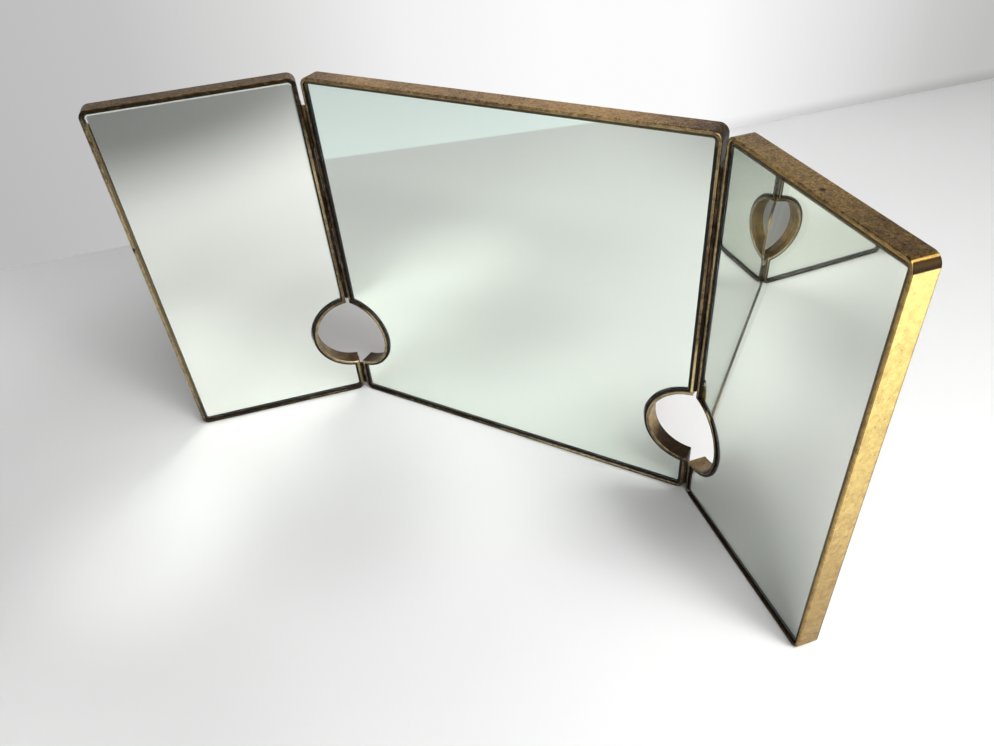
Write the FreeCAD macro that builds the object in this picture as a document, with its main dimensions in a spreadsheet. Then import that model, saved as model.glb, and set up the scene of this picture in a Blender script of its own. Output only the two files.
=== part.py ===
"""Trifold vanity mirror: three mirrors in bent brass bars, joined by slim piano hinges.

Frame: +Z up, +X to the right, the mirrors face -Y. The origin is the middle of the
bounding box, on the surface that the mirror stands on, with both wings folded forward
by fold_angle. Millimetres.

Each panel has its own local axes: X along the panel, Y from front to back, Z up. The
centre panel's local origin is in the middle of its front plane. A wing's local origin is
on its hinge axis, which lies a little in front of the panel, and its X runs away from the
hinge. The right wing and the right hinges are modelled, and the left ones are their
mirror images.
"""
import FreeCAD, Part
import os
from math import asin, cos, degrees, radians, sin, sqrt

import Sketcher

V = FreeCAD.Vector
Z_AXIS = V(0, 0, 1)

doc = FreeCAD.newDocument("trifold_mirror")

# ---------------------------------------------------------------- driving dimensions

SIZES = {
    # panels
    "panel_height": 300.0,
    "centre_width": 315.0,
    "wing_width": 154.0,
    "corner_radius": 6.5,
    "fold_angle": 44.0,
    # the brass bar, standing on edge
    "band_depth": 15.0,
    "band_thickness": 2.5,
    "arris_width": 0.5,
    # the round opening on each hinge line
    "notch_radius": 33.0,
    "notch_height": 66.0,
    # mirror glass and what holds it
    "glass_recess": 1.2,
    "glass_thickness": 3.0,
    "glass_arris": 0.8,
    "bedding_width": 1.3,
    "felt_thickness": 1.0,
    "felt_clearance": 0.5,
    "board_thickness": 6.0,
    "board_clearance": 0.4,
    # retaining tabs behind the board
    "tab_length": 10.0,
    "tab_reach": 5.0,
    "tab_thickness": 0.8,
    "tab_upright": 2.2,
    "centre_tab_spacing": 100.0,
    "wing_tab_spacing": 80.0,
    "side_tab_low": 135.0,
    "side_tab_high": 235.0,
    # hinges
    "hinge_gap": 2.6,
    "axis_forward": 0.25,
    "pin_radius": 0.5,
    "pin_clearance": 0.03,
    "leaf_thickness": 0.45,
    "leaf_width": 11.0,
    "curl_end_angle": 45.0,
    "barrel_clearance": 0.3,
    "knuckle_gap": 0.3,
    "upper_hinge_above_notch": 6.0,
    "upper_hinge_below_top": 21.0,
    "lower_hinge_above_corner": 1.0,
    "lower_hinge_below_notch": 2.0,
}
UPPER_KNUCKLES = 5
LOWER_KNUCKLES = 3

sheet = doc.addObject("Spreadsheet::Sheet", "Sizes")
for row, (alias, value) in enumerate(SIZES.items(), start=1):
    sheet.set(f"A{row}", alias)
    sheet.set(f"B{row}", str(value))
    sheet.setAlias(f"B{row}", alias)
doc.recompute()


def size(*names):
    """The value of one driving dimension, or of several added up."""
    return sum(float(getattr(sheet, name)) for name in names)


def stacked(*names):
    """The formula of several dimensions added up."""
    return "(" + " + ".join(["0"] + ["@" + name for name in names]) + ")"


def bind(item, path, formula):
    """Bind a property or a constraint to a formula, in which @ marks a cell of the sheet."""
    item.setExpression(path, formula.replace("@", "Sizes."))


# ---------------------------------------------------------------- places

WING_REACH = "(@hinge_gap / 2 + @wing_width)"
FRONT_TO_WING_TIP = (
    f"(@axis_forward * (1 - cos(@fold_angle)) + {WING_REACH} * sin(@fold_angle)"
    " - @arris_width * min(sin(@fold_angle); cos(@fold_angle)))"
)
FRONT_PLANE_Y = f"(({FRONT_TO_WING_TIP} - @band_depth) / 2)"
AXIS_X = "(@centre_width / 2 + @hinge_gap / 2)"
AXIS_Y = f"({FRONT_PLANE_Y} - @axis_forward)"

UPPER_HINGE_FOOT = stacked("notch_height", "notch_radius", "upper_hinge_above_notch")
UPPER_HINGE_LENGTH = f"(@panel_height - @upper_hinge_below_top - {UPPER_HINGE_FOOT})"
LOWER_HINGE_FOOT = stacked("corner_radius", "lower_hinge_above_corner")
LOWER_HINGE_LENGTH = (
    f"(@notch_height - @notch_radius - @lower_hinge_below_notch - {LOWER_HINGE_FOOT})"
)


def place_centre(item):
    """Put a piece of the centre panel on the centre panel's local axes."""
    bind(item, "Placement.Base.y", FRONT_PLANE_Y)


def place_on_axis(item, height="0"):
    """Put a piece upright on the right hinge axis, at a height."""
    bind(item, "Placement.Base.x", AXIS_X)
    bind(item, "Placement.Base.y", AXIS_Y)
    bind(item, "Placement.Base.z", height)


def place_on_wing(item, height="0"):
    """Put a piece on the right wing's local axes, turned forward by the fold."""
    item.Placement = FreeCAD.Placement(V(), FreeCAD.Rotation(-Z_AXIS, size("fold_angle")))
    place_on_axis(item, height)
    bind(item, "Placement.Rotation.Angle", "@fold_angle")


# ---------------------------------------------------------------- sketches

# the sketcher's numbers for the points of an edge, and for a sketch's own axes and origin
START, END, CENTRE = range(1, 4)
H_AXIS, V_AXIS = range(-1, -3, -1)
ORIGIN = (H_AXIS, START)
FLUSH = 1e-6


def new_body(label):
    body = doc.addObject("PartDesign::Body", label)
    body.Label = label
    return body


def new_sketch(body, name, plane, offset="0"):
    """A sketch on one of the body's own planes, moved along the plane's normal."""
    sketch = body.newObject("Sketcher::SketchObject", f"{body.Name}_{name}")
    support = next(f for f in body.Origin.OriginFeatures if f.Role == plane)
    sketch.AttachmentSupport = [(support, "")]
    sketch.MapMode = "FlatFace"
    bind(sketch, "AttachmentOffset.Base.z", offset)
    return sketch


def relate(sketch, kind, *where):
    """Add a geometric constraint."""
    return sketch.addConstraint(Sketcher.Constraint(kind, *where))


def as_drawn(sketch, kind, where):
    """The size that a dimension has before it is added."""
    if kind == "Radius":
        return sketch.Geometry[where[0]].Radius
    span = sketch.getPoint(*where[2:]) - sketch.getPoint(*where[:2])
    return span.x if kind == "DistanceX" else span.y


def dimension(sketch, formula, kind, *where):
    """Add a dimension that follows a formula."""
    index = relate(sketch, kind, *where, as_drawn(sketch, kind, where))
    bind(sketch, f"Constraints[{index}]", formula)


def arc(centre_x, centre_y, radius, start, end):
    circle = Part.Circle(V(centre_x, centre_y), Z_AXIS, radius)
    return Part.ArcOfCircle(circle, radians(start), radians(end))


def line(x1, y1, x2, y2):
    return Part.LineSegment(V(x1, y1), V(x2, y2))


def panel_outline(sketch, is_centre, *inset):
    """Draw a panel's outline, moved inwards by the sizes that inset names.

    The centre panel has a half-round notch on both sides, a wing on its hinge side.
    """
    step = size(*inset)
    from_axis = size("hinge_gap") / 2 + step
    if is_centre:
        right = size("centre_width") / 2 - step
        left = -right
    else:
        right = size("hinge_gap") / 2 + size("wing_width") - step
        left = from_axis
    bottom = step
    top = size("panel_height") - step
    corner = size("corner_radius") - step
    notch = size("notch_radius") + step
    notch_z = size("notch_height")
    rise = sqrt(notch ** 2 - from_axis ** 2)
    lean = degrees(asin(rise / notch))

    def draw(geometry):
        return sketch.addGeometry(geometry, False)

    base = draw(line(left + corner, bottom, right - corner, bottom))
    corners = [draw(arc(right - corner, bottom + corner, corner, -90, 0))]
    if is_centre:
        right_sides = [draw(line(right, bottom + corner, right, notch_z - rise))]
        right_notch = draw(arc(right + from_axis, notch_z, notch, 180 - lean, 180 + lean))
        right_sides.append(draw(line(right, notch_z + rise, right, top - corner)))
    else:
        right_sides = [draw(line(right, bottom + corner, right, top - corner))]
    corners.append(draw(arc(right - corner, top - corner, corner, 0, 90)))
    head = draw(line(right - corner, top, left + corner, top))
    corners.append(draw(arc(left + corner, top - corner, corner, 90, 180)))
    left_sides = [draw(line(left, top - corner, left, notch_z + rise))]
    left_notch = draw(arc(left - from_axis, notch_z, notch, -lean, lean))
    left_sides.append(draw(line(left, notch_z - rise, left, bottom + corner)))
    corners.append(draw(arc(left + corner, bottom + corner, corner, 180, 270)))

    # the rounded corners run smoothly into the straight sides
    relate(sketch, "Tangent", base, END, corners[0], START)
    relate(sketch, "Tangent", corners[0], END, right_sides[0], START)
    relate(sketch, "Tangent", right_sides[-1], END, corners[1], START)
    relate(sketch, "Tangent", corners[1], END, head, START)
    relate(sketch, "Tangent", head, END, corners[2], START)
    relate(sketch, "Tangent", corners[2], END, left_sides[0], START)
    relate(sketch, "Tangent", left_sides[-1], END, corners[3], START)
    relate(sketch, "Tangent", corners[3], END, base, START)
    for other in corners[1:]:
        relate(sketch, "Equal", corners[0], other)
    relate(sketch, "Horizontal", base)
    relate(sketch, "Horizontal", head)
    for side in right_sides + left_sides:
        relate(sketch, "Vertical", side)

    # each notch meets the straight sides above and below it in a corner
    relate(sketch, "Coincident", left_sides[0], END, left_notch, END)
    relate(sketch, "Coincident", left_sides[1], START, left_notch, START)
    relate(sketch, "PointOnObject", left_sides[1], START, left_sides[0])
    if is_centre:
        relate(sketch, "Coincident", right_sides[0], END, right_notch, END)
        relate(sketch, "Coincident", right_sides[1], START, right_notch, START)
        relate(sketch, "PointOnObject", right_sides[1], START, right_sides[0])
        relate(sketch, "Equal", left_notch, right_notch)
        dimension(sketch, "@notch_height", "DistanceY", *ORIGIN, right_notch, CENTRE)

    inwards = stacked(*inset)
    dimension(sketch, f"@corner_radius - {inwards}", "Radius", corners[0])
    dimension(sketch, f"@notch_radius + {inwards}", "Radius", left_notch)
    dimension(sketch, "@notch_height", "DistanceY", *ORIGIN, left_notch, CENTRE)
    dimension(sketch, f"@notch_height - {inwards}", "DistanceY", base, START, left_notch, CENTRE)
    dimension(sketch, f"@panel_height - {inwards}", "DistanceY", *ORIGIN, head, START)
    if is_centre:
        half_width = f"@centre_width / 2 - {inwards}"
        dimension(sketch, half_width, "DistanceX", *ORIGIN, right_sides[0], START)
        dimension(sketch, half_width, "DistanceX", left_sides[0], START, *ORIGIN)
        dimension(sketch, AXIS_X, "DistanceX", *ORIGIN, right_notch, CENTRE)
        dimension(sketch, AXIS_X, "DistanceX", left_notch, CENTRE, *ORIGIN)
    else:
        far_side = f"@hinge_gap / 2 + @wing_width - {inwards}"
        dimension(sketch, far_side, "DistanceX", *ORIGIN, right_sides[0], START)
        dimension(sketch, f"@hinge_gap / 2 + {inwards}",
                  "DistanceX", *ORIGIN, left_sides[0], START)
        relate(sketch, "PointOnObject", left_notch, CENTRE, V_AXIS)


# ---------------------------------------------------------------- the layers of a panel

# the sizes that lie between a panel's front plane and the front of each layer
GLASS_FRONT = ["glass_recess"]
BEDDING_FRONT = GLASS_FRONT + ["glass_arris"]
FELT_FRONT = GLASS_FRONT + ["glass_thickness"]
BOARD_FRONT = FELT_FRONT + ["felt_thickness"]
BOARD_BACK = BOARD_FRONT + ["board_thickness"]


def from_origin(is_centre, front):
    """The formula of how far a layer's front lies behind its panel's local origin."""
    return stacked(*front) if is_centre else stacked("axis_forward", *front)


def slab(body, is_centre, front, thickness, *inset):
    """A flat layer with the panel's outline, as a pad that grows backwards."""
    sketch = new_sketch(body, "outline", "XZ_Plane", "-" + from_origin(is_centre, front))
    panel_outline(sketch, is_centre, *inset)
    pad = body.newObject("PartDesign::Pad", f"{body.Name}_pad")
    pad.Profile = sketch
    pad.Reversed = True
    bind(pad, "Length", thickness)
    return pad


def hollow(body, is_centre, front, *inset):
    """Cut the inside out of a slab, so that a ring is left."""
    sketch = new_sketch(body, "opening", "XZ_Plane", "-" + from_origin(is_centre, front))
    panel_outline(sketch, is_centre, *inset)
    pocket = body.newObject("PartDesign::Pocket", f"{body.Name}_pocket")
    pocket.Profile = sketch
    pocket.Type = "ThroughAll"
    pocket.Midplane = True
    return pocket


def break_front_edges(body, base, amount):
    """Bevel all edges of the flat face that closes a feature at its front."""
    doc.recompute()
    front_y = base.Shape.BoundBox.YMin
    front = [
        f"Face{number}"
        for number, face in enumerate(base.Shape.Faces, start=1)
        if face.BoundBox.YMax - front_y < FLUSH
    ]
    chamfer = body.newObject("PartDesign::Chamfer", f"{body.Name}_chamfer")
    chamfer.Base = (base, front)
    bind(chamfer, "Size", amount)


def build_frame(panel, is_centre):
    """The brass bar, bent round the outline, with an arris along its front edges."""
    body = new_body(f"{panel}_frame")
    slab(body, is_centre, [], "@band_depth")
    ring = hollow(body, is_centre, [], "band_thickness")
    break_front_edges(body, ring, "@arris_width")
    return body


def build_glass(panel, is_centre):
    """The silvered glass, with a ground arris along its front edges."""
    body = new_body(f"{panel}_mirror_glass")
    pad = slab(body, is_centre, GLASS_FRONT, "@glass_thickness", "band_thickness", "bedding_width")
    break_front_edges(body, pad, "@glass_arris")
    return body


def build_bedding(panel, is_centre):
    """The black strip that fills the joint between the glass and the bar."""
    body = new_body(f"{panel}_glass_bedding")
    slab(body, is_centre, BEDDING_FRONT, "@glass_thickness - @glass_arris", "band_thickness")
    hollow(body, is_centre, BEDDING_FRONT, "band_thickness", "bedding_width")
    return body


def build_felt(panel, is_centre):
    """The soft sheet that keeps the board off the silvering."""
    body = new_body(f"{panel}_packing_felt")
    slab(body, is_centre, FELT_FRONT, "@felt_thickness", "band_thickness", "felt_clearance")
    return body


def build_board(panel, is_centre):
    """The plywood board that closes the back."""
    body = new_body(f"{panel}_back_board")
    slab(body, is_centre, BOARD_FRONT, "@board_thickness", "band_thickness", "board_clearance")
    return body


# ---------------------------------------------------------------- retaining tabs

def box(name, length, depth, height, x, y, z):
    block = doc.addObject("Part::Box", name)
    bind(block, "Length", length)
    bind(block, "Width", depth)
    bind(block, "Height", height)
    bind(block, "Placement.Base.x", x)
    bind(block, "Placement.Base.y", y)
    bind(block, "Placement.Base.z", z)
    return block


def build_tab(name, is_centre, x, z, turn):
    """An L-shaped tab: one leg on the bar's inner wall at x, z, one bent over the board.

    It is drawn below a wall that runs along the top, and turned to its own wall.
    """
    foot = box(f"{name}_foot", "@tab_length", "@tab_thickness", "@tab_reach",
               "-@tab_length / 2", "0", "-@tab_reach")
    leg = box(f"{name}_leg", "@tab_length", "@tab_thickness + @tab_upright", "@tab_thickness",
              "-@tab_length / 2", "0", "-@tab_thickness")
    tab = doc.addObject("Part::Fuse", name)
    tab.Base = foot
    tab.Tool = leg
    tab.Placement = FreeCAD.Placement(V(), FreeCAD.Rotation(V(0, 1, 0), turn))
    bind(tab, "Placement.Base.x", x)
    bind(tab, "Placement.Base.y", from_origin(is_centre, BOARD_BACK))
    bind(tab, "Placement.Base.z", z)
    return tab


def build_tabs(panel, is_centre):
    """All tabs of one panel: along the top and the bottom, and above the notch on the sides."""
    label = f"{panel}_retaining_tabs"
    if is_centre:
        middle, spacing, steps = "0", "@centre_tab_spacing", [-1, 0, 1]
        far_wall = "(@centre_width / 2 - @band_thickness)"
        near_wall = "-" + far_wall
    else:
        middle = "(@hinge_gap / 2 + @wing_width / 2)"
        spacing, steps = "@wing_tab_spacing", [-0.5, 0.5]
        far_wall = f"({WING_REACH} - @band_thickness)"
        near_wall = "(@hinge_gap / 2 + @band_thickness)"
    head, foot = "@panel_height - @band_thickness", "@band_thickness"
    spots = [(f"{middle} + {step} * {spacing}", z, turn)
             for step in steps for z, turn in ((head, 0), (foot, 180))]
    spots += [(x, z, turn)
              for z in ("@side_tab_low", "@side_tab_high")
              for x, turn in ((far_wall, 90), (near_wall, -90))]
    tabs = doc.addObject("Part::Compound", label)
    tabs.Label = label
    tabs.Links = [build_tab(f"{label}_{number}", is_centre, *spot)
                  for number, spot in enumerate(spots, start=1)]
    return tabs


# ---------------------------------------------------------------- hinges

BORE_RADIUS = stacked("pin_radius", "pin_clearance")
BARREL_RADIUS = f"({BORE_RADIUS} + @leaf_thickness)"


def leaf_section(sketch, side):
    """Draw a hinge leaf in section: a strip whose front is curled round the pin.

    The plate lies on the bar's side face. It leaves the bar where the bar's arris begins,
    and runs round the front of the pin until its end nearly meets the plate again.
    """
    bore = size("pin_radius", "pin_clearance")
    barrel = bore + size("leaf_thickness")
    outside = size("hinge_gap") / 2
    inside = outside - size("leaf_thickness")
    bend = size("axis_forward", "arris_width")
    reach = size("axis_forward", "leaf_width")
    angle = size("curl_end_angle")
    end_x, end_y = cos(radians(angle)), sin(radians(angle))

    def stroke(x1, y1, x2, y2):
        return sketch.addGeometry(line(side * x1, y1, side * x2, y2), False)

    def curl(radius):
        start, end = (angle, 360) if side > 0 else (180, 540 - angle)
        return sketch.addGeometry(arc(0, 0, radius, start, end), False)

    inside_face = stroke(inside, reach, inside, bend)
    inside_bend = stroke(inside, bend, bore, 0)
    curl_end = stroke(bore * end_x, bore * end_y, barrel * end_x, barrel * end_y)
    outside_bend = stroke(barrel, 0, outside, bend)
    outside_face = stroke(outside, bend, outside, reach)
    far_edge = stroke(outside, reach, inside, reach)
    inner_curl, outer_curl = curl(bore), curl(barrel)
    at_end, at_bend = (START, END) if side > 0 else (END, START)

    relate(sketch, "Coincident", far_edge, END, inside_face, START)
    relate(sketch, "Coincident", inside_face, END, inside_bend, START)
    relate(sketch, "Coincident", inside_bend, END, inner_curl, at_bend)
    relate(sketch, "Coincident", inner_curl, at_end, curl_end, START)
    relate(sketch, "Coincident", curl_end, END, outer_curl, at_end)
    relate(sketch, "Coincident", outer_curl, at_bend, outside_bend, START)
    relate(sketch, "Coincident", outside_bend, END, outside_face, START)
    relate(sketch, "Coincident", outside_face, END, far_edge, START)
    relate(sketch, "Vertical", inside_face)
    relate(sketch, "Vertical", outside_face)
    relate(sketch, "Horizontal", far_edge)

    def across(formula, item, point):
        """Dimension how far to its own side of the axis a point lies."""
        ends = (*ORIGIN, item, point) if side > 0 else (item, point, *ORIGIN)
        dimension(sketch, formula, "DistanceX", *ends)

    for rolled, radius in ((inner_curl, BORE_RADIUS), (outer_curl, BARREL_RADIUS)):
        relate(sketch, "Coincident", rolled, CENTRE, *ORIGIN)
        relate(sketch, "PointOnObject", rolled, at_bend, H_AXIS)
        dimension(sketch, radius, "Radius", rolled)
        across(f"{radius} * cos(@curl_end_angle)", rolled, at_end)
    across("@hinge_gap / 2", outside_face, START)
    across("@hinge_gap / 2 - @leaf_thickness", inside_face, START)
    for bent in (inside_bend, outside_bend):
        at_face = END if bent == outside_bend else START
        dimension(sketch, "@axis_forward + @arris_width", "DistanceY", *ORIGIN, bent, at_face)
    dimension(sketch, "@axis_forward + @leaf_width", "DistanceY", *ORIGIN, far_edge, START)


def relief_outline(sketch, pitch, place):
    """Draw the window that leaves room for the other leaf's knuckle at a place in the row."""
    left, bottom, right, top = -1, place, 1, place + 1
    spots = [(left, bottom), (right, bottom), (right, top), (left, top)]
    base, right_side, head, left_side = sides = [
        sketch.addGeometry(line(*a, *b), False) for a, b in zip(spots, spots[1:] + spots[:1])
    ]
    for side, following in zip(sides, sides[1:] + sides[:1]):
        relate(sketch, "Coincident", side, END, following, START)
    for level in (base, head):
        relate(sketch, "Horizontal", level)
    for upright in (left_side, right_side):
        relate(sketch, "Vertical", upright)
    clear = f"{BARREL_RADIUS} + @barrel_clearance"
    dimension(sketch, clear, "DistanceX", *ORIGIN, base, END)
    dimension(sketch, clear, "DistanceX", base, START, *ORIGIN)
    dimension(sketch, f"{pitch} + @knuckle_gap", "DistanceY", base, START, head, END)
    dimension(sketch, f"{place + 1} * {pitch} + @knuckle_gap / 2", "DistanceY", *ORIGIN, head, END)


def build_leaf(label, length, knuckles, first, side):
    """A hinge leaf on the hinge axis, with every second knuckle of the row from first on.

    side is 1 for the leaf on the wing's bar and -1 for the one on the centre's bar.
    """
    body = new_body(label)
    pitch = f"({length} / {knuckles})"
    other = 1 - first
    reliefs = len(range(other, knuckles, 2))

    section = new_sketch(body, "section", "XY_Plane")
    leaf_section(section, side)
    pad = body.newObject("PartDesign::Pad", f"{body.Name}_pad")
    pad.Profile = section
    bind(pad, "Length", length)

    relief = new_sketch(body, "relief", "YZ_Plane")
    relief_outline(relief, pitch, other)
    cut = body.newObject("PartDesign::Pocket", f"{body.Name}_relief_cut")
    cut.Profile = relief
    cut.Type = "ThroughAll"
    cut.Midplane = True

    if reliefs > 1:
        pattern = body.newObject("PartDesign::LinearPattern", f"{body.Name}_pattern")
        pattern.Originals = [cut]
        z_axis = next(f for f in body.Origin.OriginFeatures if f.Role == "Z_Axis")
        pattern.Direction = (z_axis, [""])
        pattern.Occurrences = reliefs
        bind(pattern, "Length", f"{2 * (reliefs - 1)} * {pitch}")
        body.Tip = pattern
    return body


def build_hinge(name, foot, length, knuckles):
    """The two leaves and the pin of one of the right hinges."""
    centre_leaf = build_leaf(f"{name}_centre_leaf", length, knuckles, 0, -1)
    place_on_axis(centre_leaf, foot)
    wing_leaf = build_leaf(f"{name}_wing_leaf", length, knuckles, 1, 1)
    place_on_wing(wing_leaf, foot)
    pin = doc.addObject("Part::Cylinder", f"{name}_pin")
    pin.Label = f"{name}_pin"
    bind(pin, "Radius", "@pin_radius")
    bind(pin, "Height", length)
    place_on_axis(pin, foot)
    return [centre_leaf, wing_leaf, pin]


# ---------------------------------------------------------------- the whole mirror

def build_panel(panel, is_centre, place):
    builders = [build_frame, build_glass, build_bedding, build_felt, build_board, build_tabs]
    pieces = [build(panel, is_centre) for build in builders]
    for piece in pieces:
        place(piece)
    return pieces


def mirrored(piece):
    """The left piece that mirrors a right one."""
    label = piece.Label.replace("right", "left")
    copy = doc.addObject("Part::Mirroring", label)
    copy.Label = label
    copy.Source = piece
    copy.Base = V()
    copy.Normal = V(1, 0, 0)
    return copy


centre_pieces = build_panel("centre", True, place_centre)
right_pieces = build_panel("right_wing", False, place_on_wing)
right_pieces += build_hinge("right_upper_hinge", UPPER_HINGE_FOOT, UPPER_HINGE_LENGTH,
                            UPPER_KNUCKLES)
right_pieces += build_hinge("right_lower_hinge", LOWER_HINGE_FOOT, LOWER_HINGE_LENGTH,
                            LOWER_KNUCKLES)
left_pieces = [mirrored(piece) for piece in right_pieces]
doc.recompute()

# ---------------------------------------------------------------- checks and export

failed = [item.Name for item in doc.Objects if {"Invalid", "Error"} & set(item.State)]
if failed:
    raise RuntimeError("these objects failed: " + ", ".join(failed))

nodes = centre_pieces + right_pieces + left_pieces
for node in nodes:
    if node.Shape.isNull() or not node.Shape.isValid() or not node.Shape.Solids:
        raise RuntimeError(f"{node.Label} has no valid solid")

os.makedirs("parts", exist_ok=True)
for node in nodes:
    node.Shape.exportStep(f"parts/{node.Label}.step")
    print(f"{node.Label}: {len(node.Shape.Solids)} solid(s), {node.Shape.Volume:.1f} mm3")
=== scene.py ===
"""The looks of a trifold brass mirror: its bent bands, silvered glass, hinges, backs and studio."""

import math

import bmesh
import bpy
from mathutils import Matrix, Vector


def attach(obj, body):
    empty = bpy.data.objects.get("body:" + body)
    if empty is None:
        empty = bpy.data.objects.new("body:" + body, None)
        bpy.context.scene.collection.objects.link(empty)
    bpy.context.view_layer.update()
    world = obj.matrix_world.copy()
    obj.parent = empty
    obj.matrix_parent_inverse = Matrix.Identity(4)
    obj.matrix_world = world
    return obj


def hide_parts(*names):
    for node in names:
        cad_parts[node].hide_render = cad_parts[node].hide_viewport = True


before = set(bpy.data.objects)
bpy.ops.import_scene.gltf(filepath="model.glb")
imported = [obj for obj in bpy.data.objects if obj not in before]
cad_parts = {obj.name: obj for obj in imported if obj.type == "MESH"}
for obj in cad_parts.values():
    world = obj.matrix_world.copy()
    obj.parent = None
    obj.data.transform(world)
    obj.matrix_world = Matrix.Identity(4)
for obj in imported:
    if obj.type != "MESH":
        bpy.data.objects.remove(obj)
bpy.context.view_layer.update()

MM = 0.001
# The lengths in capitals are in millimetres, but the studio's and the camera's are in metres.
# How far the wings stand forward, where the hinge pins are, where the centre's front is, and how
# high the middle of a round opening is.
FOLD = math.radians(44.0)
AXIS_X = 158.8
AXIS_Y = 46.0516
FRONT_Y = 46.3016
HOLE_UP = 66.0
# The bar's worn corners: how sharp an edge is that gets one, and how far it is rounded.
SHARP = math.radians(28.0)
ARRIS_ROUND = 0.22
# How far the silver lies inside the glass, and how the right wing's leans, and about where.
SILVER_LIFT = 0.75
SILVER_LEAN = math.tan(math.radians(0.26))
SILVER_LEANS_ABOUT = 78.0
# Where the hinges start and end, and how many knuckles they have.
HINGES = {"upper": (105.0, 279.0, 5), "lower": (7.5, 31.0, 3)}
KNUCKLE_RADIUS = 1.06
KNUCKLE_EASE = 0.14
HALF_GAP = 0.15
# The seam of solder: its radius, its eased ends, and its place out and back from the pin.
SOLDER_RADIUS = 0.30
SOLDER_EASE = 0.12
SOLDER_OUT = 1.02
SOLDER_BACK = 0.98
# Which side of the middle each panel is on.
PANELS = {"centre": 0, "right_wing": 1, "left_wing": -1}
BLACK = (0.0, 0.0, 0.0)
# Where the joint round the glass counts as the top one or an outer one, and where the foot ends.
TOP_JOINT = (288.0, 292.0)
OUTER_JOINT = (144.0, 148.0)
PAST_FOOT = (14.0, 40.0)
# From how far a surface has to face one way to how far it surely does.
FACING = (0.45, 0.75)


# ---------------------------------------------------------------- finishes


class Signal:
    """What one socket of a finish carries, so that sums on it read as plain arithmetic."""

    def __init__(self, finish, socket):
        self.finish = finish
        self.socket = socket

    def sum(self, operation, first, second=0.0, clamp=False):
        settings = {"operation": operation, "use_clamp": clamp}
        return self.finish.add("ShaderNodeMath", settings, {0: first, 1: second})

    def __add__(self, other):
        return self.sum("ADD", self, other)

    def __radd__(self, other):
        return self.sum("ADD", other, self)

    def __sub__(self, other):
        return self.sum("SUBTRACT", self, other)

    def __rsub__(self, other):
        return self.sum("SUBTRACT", other, self)

    def __mul__(self, other):
        return self.sum("MULTIPLY", self, other)

    def __rmul__(self, other):
        return self.sum("MULTIPLY", other, self)

    def __truediv__(self, other):
        return self.sum("DIVIDE", self, other)

    def __neg__(self):
        return self.sum("MULTIPLY", self, -1.0)

    def __abs__(self):
        return self.sum("ABSOLUTE", self)

    def clipped(self):
        return self.sum("ADD", self, 0.0, clamp=True)

    def higher(self, other):
        return self.sum("MAXIMUM", self, other)


class Finish:
    """One material, or the air of the studio, while its nodes are being put together."""

    def __init__(self, name, shelf=bpy.data.materials):
        self.material = shelf.new(name)
        self.material.use_nodes = True
        self.tree = self.material.node_tree
        self.tree.nodes.clear()

    def add(self, kind, settings=None, sockets=None, output=0):
        """Adds a node: its settings first, then its sockets' values or links."""
        node = self.tree.nodes.new(kind)
        for name, value in (settings or {}).items():
            if name == "stops":
                self.lay_stops(node.color_ramp, value)
            else:
                setattr(node, name, value)
        for name, value in (sockets or {}).items():
            if isinstance(value, Signal):
                self.tree.links.new(value.socket, node.inputs[name])
            else:
                node.inputs[name].default_value = value
        return Signal(self, node.outputs[output]) if node.outputs else None

    def lay_stops(self, ramp, stops):
        while len(ramp.elements) < len(stops):
            ramp.elements.new(0.5)
        for element, (position, tone) in zip(ramp.elements, stops):
            element.position = position
            element.color = (*tone, 1.0)

    def axes(self, vector):
        """The three numbers of a vector."""
        parts = self.add("ShaderNodeSeparateXYZ", {}, {0: vector})
        return [Signal(self, output) for output in parts.socket.node.outputs]

    def place(self):
        """Where a point is, in metres."""
        return self.add("ShaderNodeTexCoord", output="Object")

    def distance(self, place, spot):
        """How far a place is from a spot, in their own measure."""
        return self.add("ShaderNodeVectorMath", {"operation": "DISTANCE"}, {0: place, 1: spot}, "Value")

    def vector(self, x, y, z):
        return self.add("ShaderNodeCombineXYZ", {}, {0: x, 1: y, 2: z})

    def noise(self, vector, scale=1.0, detail=2.0, roughness=0.5, distortion=0.0):
        sockets = {"Vector": vector, "Scale": scale, "Detail": detail,
                   "Roughness": roughness, "Distortion": distortion}
        return self.add("ShaderNodeTexNoise", {}, sockets)

    def between(self, value, low, high):
        """0 below low, 1 above high, and a soft step from one to the other."""
        settings = {"interpolation_type": "SMOOTHSTEP"}
        sockets = {"Value": value, "From Min": low, "From Max": high}
        return self.add("ShaderNodeMapRange", settings, sockets)

    def blend(self, share, first, second):
        """A colour that goes from first to second."""
        settings = {"data_type": "RGBA"}
        return self.add("ShaderNodeMix", settings, {0: share, 6: colour(first), 7: colour(second)}, 2)

    def ramp(self, value, stops):
        return self.add("ShaderNodeValToRGB", {"stops": stops}, {0: value})

    def profile(self, place, stops):
        """A number that follows written stops along a place in millimetres."""
        low, high = stops[0][0], stops[-1][0]
        along = (place - low) / (high - low)
        greys = [((at - low) / (high - low), (number,) * 3) for at, number in stops]
        return self.ramp(along.clipped(), greys)

    def bump(self, height, depth, strength=1.0):
        sockets = {"Strength": strength, "Distance": depth, "Height": height}
        return self.add("ShaderNodeBump", {}, sockets)

    def light_path(self, name):
        return self.add("ShaderNodeLightPath", output=name)

    def close(self, surface, end="ShaderNodeOutputMaterial"):
        self.add(end, {}, {"Surface": surface})
        return self.material

    def skin(self, **sockets):
        """The Principled surface, which ends the finish."""
        sockets = {name.replace("_", " "): value for name, value in sockets.items()}
        return self.close(self.add("ShaderNodeBsdfPrincipled", {}, sockets))


def colour(value):
    """A written colour gets its fourth number. A link passes as it is."""
    return value if isinstance(value, Signal) else (*value, 1.0)


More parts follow.
